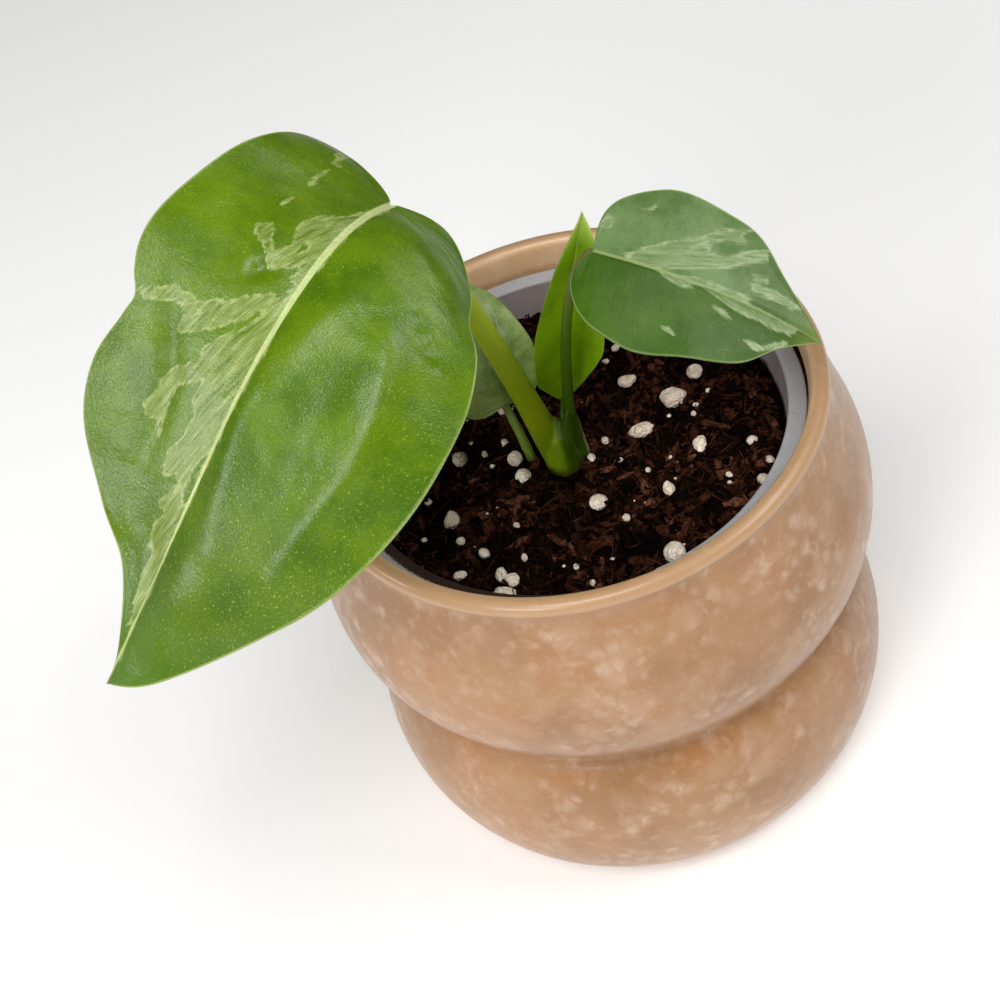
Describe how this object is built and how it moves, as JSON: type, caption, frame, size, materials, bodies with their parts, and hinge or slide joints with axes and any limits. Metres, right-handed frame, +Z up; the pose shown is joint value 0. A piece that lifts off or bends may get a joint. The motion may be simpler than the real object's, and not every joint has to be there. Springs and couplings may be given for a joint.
{
  "type": "potted aroid house plant",
  "caption": "Juvenile variegated aroid with heart-shaped green and cream leaves on upright stalks, in a nursery pot inside a bulging speckled ceramic pot.",
  "frame": {"origin": "centre of the flat underside of the ceramic pot", "axes": "+Z up along the pot's axis; -Y is the plant's showing side, with the large leaf towards -X"},
  "size_m": [0.158, 0.1242, 0.1836],
  "materials": {
    "ceramic": "satin glaze, speckled",
    "nursery_plastic": "matte grey",
    "soil": "rough, dark and fibrous",
    "stem": "satin olive green",
    "stalk": "satin olive green",
    "leaf": "glossy, variegated green and cream",
    "young_leaf": "glossy fresh green"
  },
  "bodies": {
    "root": {"outer_pot": "ceramic", "nursery_pot": "nursery_plastic", "potting_soil": "soil", "stem_base": "stem", "large_leaf_stalk": "stalk", "medium_leaf_stalk": "stalk", "small_leaf_stalk": "stalk", "large_leaf_blade": "leaf", "medium_leaf_blade": "leaf", "new_leaf_blade": "young_leaf", "small_leaf_blade": "leaf"}
  },
  "joints": []
}
